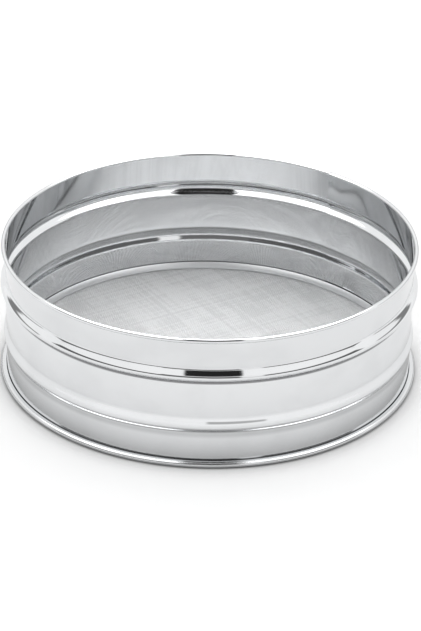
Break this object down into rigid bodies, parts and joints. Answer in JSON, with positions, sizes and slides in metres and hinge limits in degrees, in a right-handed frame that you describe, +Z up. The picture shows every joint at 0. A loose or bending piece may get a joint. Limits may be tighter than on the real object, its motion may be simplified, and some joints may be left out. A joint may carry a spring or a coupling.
{
  "type": "flour sieve",
  "caption": "Round all-metal flour sieve: a polished drum with a rolled rim, swaged beads and a crimped foot ring that clamps a floor of woven wire cloth.",
  "frame": {"origin": "centre of the foot's underside, on the drum's axis, at table height", "axes": "+Z up along the drum's axis, -Y towards the side that the picture shows"},
  "size_m": [0.2126, 0.2126, 0.07],
  "materials": {
    "polished_sheet": "mirror-polished stainless steel sheet",
    "drawn_wire": "bright drawn steel wire",
    "wire_cloth": "fine plain-woven stainless wire cloth"
  },
  "bodies": {
    "root": {"drum_wall": "polished_sheet", "rim_wire": "drawn_wire", "sieve_cloth": "wire_cloth", "foot_ring": "polished_sheet", "inner_ring": "polished_sheet"}
  },
  "joints": []
}
